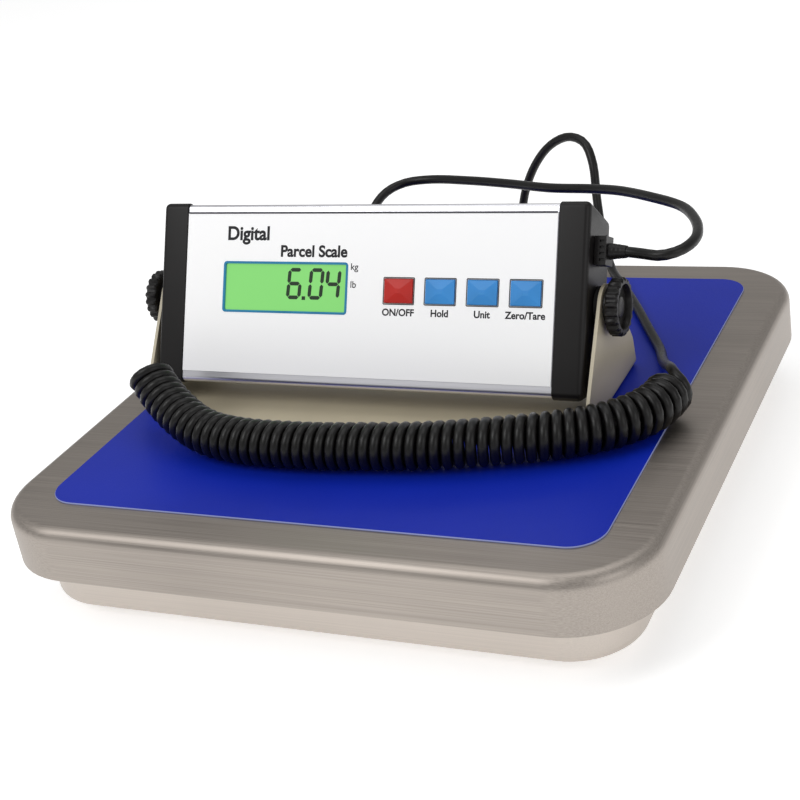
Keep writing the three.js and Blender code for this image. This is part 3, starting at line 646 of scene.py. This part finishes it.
def pan():
    """Base tray with a rounded lower edge and a folded rim."""
    def ring(inset, z):
        side = PAN_SIDE - 2 * inset
        return rounded_ring(side, side, PAN_CORNER - inset, z)

    outside = [
        ring(inset, PAN_BOTTOM + PAN_ROUND - drop)
        for inset, drop in reversed(list(quarter(PAN_ROUND, 8)))
    ]
    rim = [ring(0, PAN_RIM - 0.4), ring(0.4, PAN_RIM), ring(SHEET - 0.4, PAN_RIM), ring(SHEET, PAN_RIM - 0.4)]
    inside = [
        ring(SHEET + inset, PAN_BOTTOM + PAN_ROUND - drop)
        for inset, drop in quarter(PAN_ROUND - SHEET, 6)
    ]
    bm = bmesh.new()
    loft(bm, [*outside, *rim, *inside])
    piece = finish_piece("pan", bm, PAN_STEEL)
    gland_hole_low, gland_hole_high = (-18.3, 130, 14.7), (-5.7, 150, 23.3)
    carve(piece, [block(gland_hole_low, gland_hole_high)])
    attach(piece, "base")
    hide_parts("base_pan")


def feet():
    for node in frame["nodes"]:
        if not node.startswith("foot_"):
            continue
        low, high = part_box(node)
        x, y = (low + high).xy / 2 / MM
        profile = [(0.05, 1.4), (5, 1.4), (6, 0), (12, 0), (12.7, 0.3), (13, 1), (12.3, 4.5), (12, 4.9)]
        profile += [(3.6, 4.9), (3.6, 6.7), (4.6, 6.7), (3.2, 9.4), (0.05, 9.4)]
        piece = turned_z(node + "_rubber", profile, RUBBER, x, y)
        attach(piece, "base")
        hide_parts(node)


cover()
mat()
pan()
feet()


# ---------------------------------------------------------------- stand

def stand_edges():
    """Radius of the arms' round tops, and functions from a height to the front and back edge."""
    unit = Vector((STAND_SLOPE, 1)).normalized()
    outward = Vector((-unit.y, unit.x))
    foot = Vector((STAND_FRONT, STAND_BOTTOM))
    centre = Vector((PIVOT.y, PIVOT.z))
    radius = abs((centre - foot).dot(outward))
    front_touch = centre + outward * radius
    corner = Vector((STAND_BACK - 2, STAND_BOTTOM + 15))
    away = corner - centre
    turn = math.acos(radius / away.length)
    direction = math.atan2(away.y, away.x) + turn
    back_touch = centre + Vector((math.cos(direction), math.sin(direction))) * radius

    def arc(z):
        return math.sqrt(max(0, radius ** 2 - (z - centre.y) ** 2))

    def front(z):
        if z < front_touch.y:
            return foot.x + STAND_SLOPE * (z - foot.y)
        return centre.x - arc(z)

    def back(z):
        if z < corner.y:
            return STAND_BACK - 2 * (z - STAND_BOTTOM) / 15
        if z < back_touch.y:
            return corner.x + (back_touch.x - corner.x) * (z - corner.y) / (back_touch.y - corner.y)
        return centre.x + arc(z)

    return radius, front, back


def stand():
    radius, front, back = stand_edges()
    top = PIVOT.z + radius
    bend_z = STAND_BOTTOM + STAND_BEND
    arm_steps, bend_steps = 28, 8
    arm = []
    for k in range(arm_steps):
        height = bend_z + (top - bend_z) * math.sin(0.5 * math.pi * k / arm_steps)
        arm.append((STAND_HALF, height, STAND_HALF - STAND_SHEET, height))
    arm.append((STAND_HALF, top - 0.01, STAND_HALF - STAND_SHEET, top - 0.01))
    bend = []
    for k in range(bend_steps, 0, -1):
        angle = 0.5 * math.pi * k / bend_steps
        reach, drop = math.cos(angle), math.sin(angle)
        outer = (STAND_HALF - STAND_BEND + STAND_BEND * reach, bend_z - STAND_BEND * drop)
        inner_bend = STAND_BEND - STAND_SHEET
        inner = (STAND_HALF - STAND_BEND + inner_bend * reach, bend_z - inner_bend * drop)
        bend.append((*outer, *inner))
    flat_x = STAND_HALF - STAND_CORNER
    flat = (flat_x, STAND_BOTTOM, flat_x, STAND_BOTTOM + STAND_SHEET)
    half = [flat, *bend, *arm]
    rings = []
    for side, rows in ((-1, reversed(half)), (1, half)):
        for outer_x, outer_z, inner_x, inner_z in rows:
            outer, inner = PIVOT.x + side * outer_x, PIVOT.x + side * inner_x
            cut_back = STAND_FRONT + STAND_CORNER + outer_x - STAND_HALF
            y0, y1 = max(front(outer_z), cut_back), back(outer_z)
            outer_pair = [(outer, y0, outer_z), (outer, y1, outer_z)]
            rings.append([*outer_pair, (inner, y1, inner_z), (inner, y0, inner_z)])
    bm = bmesh.new()
    loft(bm, rings)
    piece = finish_piece("stand", bm, CREAM, angle=40)
    holes = []
    for x in STAND_HOLE_XS:
        hole = bmesh.new()
        centre_x = PIVOT.x + x
        steps = [2 * math.pi * k / 24 for k in range(24)]
        ring = [
            (centre_x + STAND_HOLE_RADIUS * math.cos(a), STAND_HOLE_Y + STAND_HOLE_RADIUS * math.sin(a))
            for a in steps
        ]
        loft(hole, [[(px, py, z) for px, py in ring] for z in (STAND_BOTTOM - 4, STAND_BOTTOM + 6)])
        holes.append(finish_piece("hole", hole, None))
    carve(piece, holes, 40)
    soften(piece, 0.35, 2, 50)
    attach(piece, "platform")
    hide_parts("bracket")


stand()


# ---------------------------------------------------------------- indicator

def on_indicator(piece, slot_name, body="indicator", *nodes):
    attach(piece, body)
    if nodes:
        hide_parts(*nodes)
    return piece


def outline(inset, steps=10):
    """Points in Y and Z round the indicator's section, moved inwards by an inset."""
    points = []
    count = len(OUTLINE)
    for i, (y, z, round_off) in enumerate(OUTLINE):
        before = Vector(OUTLINE[i - 1][:2])
        here = Vector((y, z))
        after = Vector(OUTLINE[(i + 1) % count][:2])
        come, go = (here - before).normalized(), (after - here).normalized()
        inwards = Vector((-come.y - go.y, come.x + go.x)).normalized()
        corner = here + inwards * (inset / inwards.dot(Vector((-come.y, come.x))))
        radius = max(round_off - inset, 0.8)
        half_turn = math.acos(max(-1, min(1, come.dot(go)))) / 2
        start = corner - come * radius * math.tan(half_turn)
        angle = math.atan2(come.y, come.x) - math.pi / 2
        centre = start - Vector((math.cos(angle), math.sin(angle))) * radius
        for k in range(steps + 1):
            a = angle + 2 * half_turn * k / steps
            points.append((centre.x + radius * math.cos(a), centre.y + radius * math.sin(a)))
    return points


def section(inset, x):
    return [(x, y, z) for y, z in outline(inset)]


def shell():
    """Extruded tube with holes for the window, the buttons and the battery cover."""
    bm = bmesh.new()
    wall = SHELL_INSET + 2
    insets = [(wall, -SHELL_HALF), (SHELL_INSET, -SHELL_HALF), (SHELL_INSET, SHELL_HALF), (wall, SHELL_HALF)]
    loft(bm, [section(inset, x) for inset, x in insets], closed=True)
    piece = finish_piece("indicator_tube", bm, ALUMINIUM, INDICATOR)
    cutters = [block(
        (WINDOW_X - WINDOW_WIDTH / 2 - 0.2, -30, WINDOW_Z - WINDOW_HEIGHT / 2 - 0.2),
        (WINDOW_X + WINDOW_WIDTH / 2 + 0.2, -10, WINDOW_Z + WINDOW_HEIGHT / 2 + 0.2),
        INDICATOR,
    )]
    for x in BUTTON_XS:
        half_x, half_z = BUTTON_WIDTH / 2 + 0.5, BUTTON_HEIGHT / 2 + 0.5
        low, high = (x - half_x, -30, BUTTON_Z - half_z), (x + half_x, -10, BUTTON_Z + half_z)
        cutters.append(block(low, high, INDICATOR))
    cutters.append(block((-53, 5, -17), (53, 20, 17), INDICATOR))
    carve(piece, cutters)
    on_indicator(piece, "aluminium", "indicator", "housing_shell")


def end_caps():
    for side, name in ((-1, "left"), (1, "right")):
        bm = bmesh.new()
        start = SHELL_HALF + 0.3
        rings = [section(0.3, start), section(0, start + 0.3)]
        rings += [section(inset, CAP_END - END_ROUND + reach) for inset, reach in quarter(END_ROUND, 8)]
        loft(bm, rings)
        bm.transform(Matrix.Scale(side, 4, (1, 0, 0)))
        piece = finish_piece("cap_" + name, bm, BLACK, INDICATOR)
        hole_start, hole_end = sorted((side * (CAP_END - SCREW_HOLE_DEPTH), side * (CAP_END + 11.5)))
        cutters = [
            rod_x(SCREW_HOLE_RADIUS, hole_start, hole_end, SCREW_Y, z, INDICATOR)
            for z in SCREW_HEIGHTS
        ]
        carve(piece, cutters)
        on_indicator(piece, "black_plastic", "indicator", "end_cap_" + name)


def knobs():
    """Ribbed rims with a recessed face and a domed boss in the middle."""
    per_rib = 8
    count = KNOB_RIBS * per_rib

    def ribbed(x, scale):
        ring = []
        for k in range(count):
            wave = math.cos(2 * math.pi * k / per_rib)
            depth = 0.5 * (1 - max(-1, min(1, 2.2 * wave)))
            radius = KNOB_RADIUS * scale - 1.0 * depth
            angle = 2 * math.pi * k / count
            ring.append((x, radius * math.cos(angle), radius * math.sin(angle)))
        return ring

    def plain(radius, x):
        return circle(radius, x, count)

    for side, name in ((-1, "left"), (1, "right")):
        bm = bmesh.new()
        loft(bm, [
            plain(3.4, KNOB_START), plain(8.2, KNOB_START), plain(8.5, KNOB_START + 0.3),
            plain(8.5, KNOB_RIM - 0.3), plain(9.2, KNOB_RIM),
            ribbed(KNOB_RIM, 0.945), ribbed(KNOB_RIM + 0.7, 1),
            ribbed(KNOB_END - 0.9, 1), ribbed(KNOB_END, 0.935), plain(10.2, KNOB_END),
            plain(9.8, KNOB_END - 0.5), plain(9.5, KNOB_END - 2.8), plain(9.1, KNOB_END - 3),
            plain(5.2, KNOB_END - 3), plain(4.9, KNOB_END - 2.8), plain(4.6, KNOB_END - 1.9),
            plain(4.1, KNOB_END - 1.6), plain(1, KNOB_END - 1.5),
        ])
        bm.transform(Matrix.Scale(side, 4, (1, 0, 0)))
        piece = finish_piece("grip_" + name, bm, KNOB_BLACK, INDICATOR, 40)
        on_indicator(piece, "black_plastic", name + "_knob", "knob_" + name)


def washers():
    for side, name in ((-1, "left"), (1, "right")):
        bm = bmesh.new()
        low, high = 108.8, 110.85
        loft(bm, [
            circle(3.4, low, 48), circle(8.7, low, 48), circle(9, low + 0.3, 48),
            circle(9, high - 0.3, 48), circle(8.7, high, 48), circle(3.4, high, 48),
        ], closed=True)
        bm.transform(Matrix.Scale(side, 4, (1, 0, 0)))
        piece = finish_piece("washer_" + name, bm, RUBBER, INDICATOR)
        on_indicator(piece, "rubber", "indicator", "friction_washer_" + name)


def plate(name, x, z, width, height, front, back, material_used, corner=0.6):
    """A flat piece on the face with round corners."""
    bm = bmesh.new()
    rings = []
    for inset, y in ((0, back), (0, front + 0.05), (0.05, front)):
        flat = rounded_ring(width - 2 * inset, height - 2 * inset, max(corner - inset, 0.05), 0, 4, x, z)
        rings.append([(px, y, pz) for px, pz, _ in flat])
    loft(bm, rings)
    return finish_piece(name, bm, material_used, INDICATOR)


def frame_line(name, x, z, width, height, thickness, front, depth, material_used, corner=0.6):
    """A thin rectangular outline on the face."""
    bm = bmesh.new()
    rings = []
    for grow, y in ((0, front + depth), (0, front), (-thickness, front), (-thickness, front + depth)):
        flat = rounded_ring(width + 2 * grow, height + 2 * grow, max(corner + grow, 0.1), 0, 4, x, z)
        rings.append([(px, y, pz) for px, pz, _ in flat])
    loft(bm, rings, closed=True)
    return finish_piece(name, bm, material_used, INDICATOR)


def face():
    """Dark line along the label's top, and dark outlines round the buttons."""
    width = 2 * SHELL_HALF - 0.6
    line = plate("label_line", 0, 39.6, width, 0.9, FACE + 0.05, FACE + 0.2, LINE_GREY, 0.3)
    on_indicator(line, "black_plastic")
    for i, x in enumerate(BUTTON_XS):
        outline_piece = frame_line(
            f"button_outline_{i + 1}", x, BUTTON_Z, BUTTON_WIDTH + 1.7, BUTTON_HEIGHT + 1.7,
            0.42, FACE + 0.05, 0.12, INK,
        )
        on_indicator(outline_piece, "black_plastic")


SEGMENT_GAP = 0.18


def seven_segments(digit, x, z, width, height, thick, lean):
    """Segments of one digit as flat hexagons, whose lower left corner is at x and z."""
    lit = {"0": "abcdef", "4": "bcfg", "6": "acdefg"}[digit]
    half = height / 2
    ends = {
        "a": ((0, height), (width, height)), "b": ((width, height), (width, half)),
        "c": ((width, half), (width, 0)), "d": ((0, 0), (width, 0)),
        "e": ((0, half), (0, 0)), "f": ((0, height), (0, half)), "g": ((0, half), (width, half)),
    }
    for name in lit:
        a, b = (Vector(p) for p in ends[name])
        along = (b - a).normalized()
        across = Vector((-along.y, along.x)) * thick / 2
        a, b = a + along * SEGMENT_GAP, b - along * SEGMENT_GAP
        shape = [
            a, a + along * thick / 2 + across, b - along * thick / 2 + across,
            b, b - along * thick / 2 - across, a + along * thick / 2 - across,
        ]
        yield [(x + p.x + p.y * lean, z + p.y) for p in shape]


def display():
    """Green panel behind the window, its blue edge and the dark digits."""
    front = FACE + 0.9
    width, height = WINDOW_WIDTH - 0.8, WINDOW_HEIGHT - 0.8
    panel = plate("display_panel", WINDOW_X, WINDOW_Z, width, height, front, front + 1, GREEN_GLOW, 1.2)
    on_indicator(panel, "window_green", "indicator", "display_window")
    edge = frame_line(
        "display_edge", WINDOW_X, WINDOW_Z, WINDOW_WIDTH + 1.2, WINDOW_HEIGHT + 1.2,
        1.1, FACE + 0.02, 1.2, TEAL, 1.6,
    )
    on_indicator(edge, "window_green")
    bm = bmesh.new()
    digit_width, digit_height, thick = 6.0, 12.9, 1.75
    shapes = []
    for digit, x in (("6", -38.4), ("0", -27.0), ("4", -18.2)):
        shapes += seven_segments(digit, x, 0.1, digit_width, digit_height, thick, 0.07)
    left, right, low, high = -30.8, -29.0, -1.0, 0.7
    shapes.append([(left, low), (right, low), (right, high), (left, high)])
    for shape in shapes:
        loft(bm, [[(px, y, pz) for px, pz in shape] for y in (front - 0.12, front - 0.02)])
    on_indicator(finish_piece("display_digits", bm, SEGMENT, INDICATOR), "black_plastic")


def lettering(name, text, x, z, size, align="CENTER", bold=0.0):
    """Thin raised print on the face. A small bevel makes its strokes bolder."""
    curve = bpy.data.curves.new(name, "FONT")
    curve.body = text
    curve.size = size
    curve.align_x = align
    curve.align_y = "CENTER"
    curve.bevel_depth = bold
    curve.bevel_resolution = 0
    curve.extrude = 0.02
    holder = bpy.data.objects.new(name + "_curve", curve)
    bpy.context.scene.collection.objects.link(holder)
    bpy.context.view_layer.update()
    mesh = bpy.data.meshes.new_from_object(holder.evaluated_get(bpy.context.evaluated_depsgraph_get()))
    bpy.data.objects.remove(holder, do_unlink=True)
    upright = Matrix.Rotation(math.pi / 2, 4, "X")
    flat = Matrix.Scale(0.3, 4, (0, 0, 1))
    place = Matrix.Translation((x, FACE + 0.13, z))
    mesh.transform(Matrix.Scale(MM, 4) @ INDICATOR @ place @ upright @ flat)
    mesh.materials.clear()
    mesh.materials.append(INK)
    piece = bpy.data.objects.new(name, mesh)
    bpy.context.scene.collection.objects.link(piece)
    on_indicator(piece, "black_plastic")


def print_on_face():
    lettering("title_1", "Digital", -72, 29.6, 9.0, "LEFT", bold=0.28)
    lettering("title_2", "Parcel Scale", -7.5, 21.4, 7.4, "RIGHT", bold=0.25)
    lettering("unit_kg", "kg", -3.6, 14.6, 4.4, bold=0.05)
    lettering("unit_lb", "lb", -3.9, 6.4, 4.4, bold=0.05)
    for name, x in zip(("ON/OFF", "Hold", "Unit", "Zero/Tare"), BUTTON_XS):
        lettering("legend_" + name.replace("/", "_").lower(), name, x, BUTTON_Z - 9.9, 4.4, bold=0.14)


shell()
end_caps()
knobs()
washers()
face()
display()
print_on_face()


def boot(name, body, points, material_used, wide, narrow):
    """Tapered strain relief with shallow rings where the cord leaves its gland."""
    line = catmull(points, 0.5)
    radii = []
    for i, _ in enumerate(line):
        part = i / (len(line) - 1)
        radii.append(wide + (narrow - wide) * part - (0.12 if i % 4 == 2 and 0.1 < part < 0.9 else 0))
    bm = bmesh.new()
    tube(bm, line, radii, 24)
    piece = finish_piece(name, bm, material_used, angle=50)
    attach(piece, body)


GLAND_OUT = (105, LEAD_ROUTE[0][1], LEAD_ROUTE[0][2])
boot("boot_indicator", "indicator", [LEAD_ROUTE[0], GLAND_OUT, LEAD_ROUTE[1]], BLACK, 3.7, 2.75)
boot("boot_base", "base", [TAIL_ROUTE[-1], TAIL_ROUTE[-2], TAIL_ROUTE[-3]], BLACK, 4.0, 2.75)


# ---------------------------------------------------------------- CAD nodes that show as they are

EDGED = {
    "button_power": 0.25, "button_hold": 0.25, "button_unit": 0.25, "button_zero": 0.25,
    "battery_cover": 0.4, "indicator_gland": 0.5, "base_gland": 0.5, "face_label": 0.05,
}

for subpart in frame["record"]["subparts"]:
    node = frame["nodes"][subpart["node"]]
    node.data.materials.clear()
    node.data.materials.append(BY_SLOT[subpart["material_slot"]])
    if subpart["node"] in EDGED:
        soften(node, EDGED[subpart["node"]])


# ---------------------------------------------------------------- studio

def floor():
    bm = bmesh.new()
    loft(bm, [[(-6000, -6000, z), (6000, -6000, z), (6000, 6000, z), (-6000, 6000, z)] for z in (-10, -0.1)])
    ground = material("floor", (0.90, 0.90, 0.90), 0.6)
    shader_of(ground).inputs["Emission Color"].default_value = (1, 1, 1, 1)
    shader_of(ground).inputs["Emission Strength"].default_value = 0.5
    finish_piece("floor", bm, ground)


def softbox(name, place, aim, size, power):
    data = bpy.data.lights.new(name, "AREA")
    data.shape = "RECTANGLE"
    data.size, data.size_y = size
    data.energy = power
    made = bpy.data.objects.new(name, data)
    made.location = place
    made.rotation_euler = (Vector(aim) - Vector(place)).to_track_quat("-Z", "Y").to_euler()
    bpy.context.scene.collection.objects.link(made)


def studio():
    floor()
    world = bpy.data.worlds.new("world")
    world.use_nodes = True
    world.node_tree.nodes["Background"].inputs["Color"].default_value = (1, 1, 1, 1)
    world.node_tree.nodes["Background"].inputs["Strength"].default_value = 0.42
    bpy.context.scene.world = world
    softbox("key", (-0.7, -0.9, 1.3), (0, 0, 0.05), (0.9, 0.9), 8.5)
    softbox("fill", (1.3, -0.7, 0.8), (0, 0, 0.05), (0.8, 0.8), 3)
    softbox("top", (0, 0.3, 1.6), (0, 0, 0), (1.4, 1.0), 5)
    bpy.context.scene.view_settings.view_transform = "Standard"


studio()
